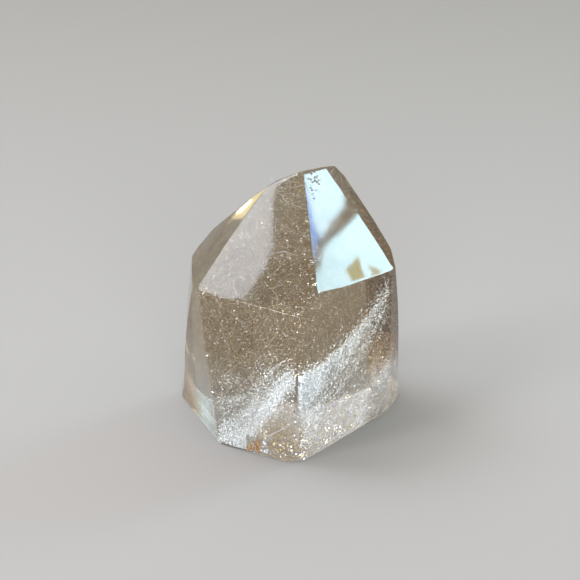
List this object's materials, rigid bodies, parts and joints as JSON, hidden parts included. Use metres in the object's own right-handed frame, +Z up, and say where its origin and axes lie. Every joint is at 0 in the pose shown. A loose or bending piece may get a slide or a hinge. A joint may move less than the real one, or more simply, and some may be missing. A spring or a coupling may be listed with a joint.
{
  "type": "polished smoky quartz freeform",
  "caption": "Faceted, polished piece of smoky quartz with a flat sawn foot, flat crystal-like faces and a slanting pointed crown, for standing on a shelf or table.",
  "frame": {"origin": "bottom centre of the stone's box, on the plane of its flat foot", "axes": "+Z up from the foot to the crown, -Y the front, where the two widest waist faces meet in one upright edge, +X to the right"},
  "size_m": [0.0258, 0.0284, 0.0282],
  "materials": {
    "smoky_quartz": "clear grey-brown quartz with fine inclusions, hand-polished to a gloss"
  },
  "bodies": {
    "root": {"quartz_freeform": "smoky_quartz"}
  },
  "joints": []
}
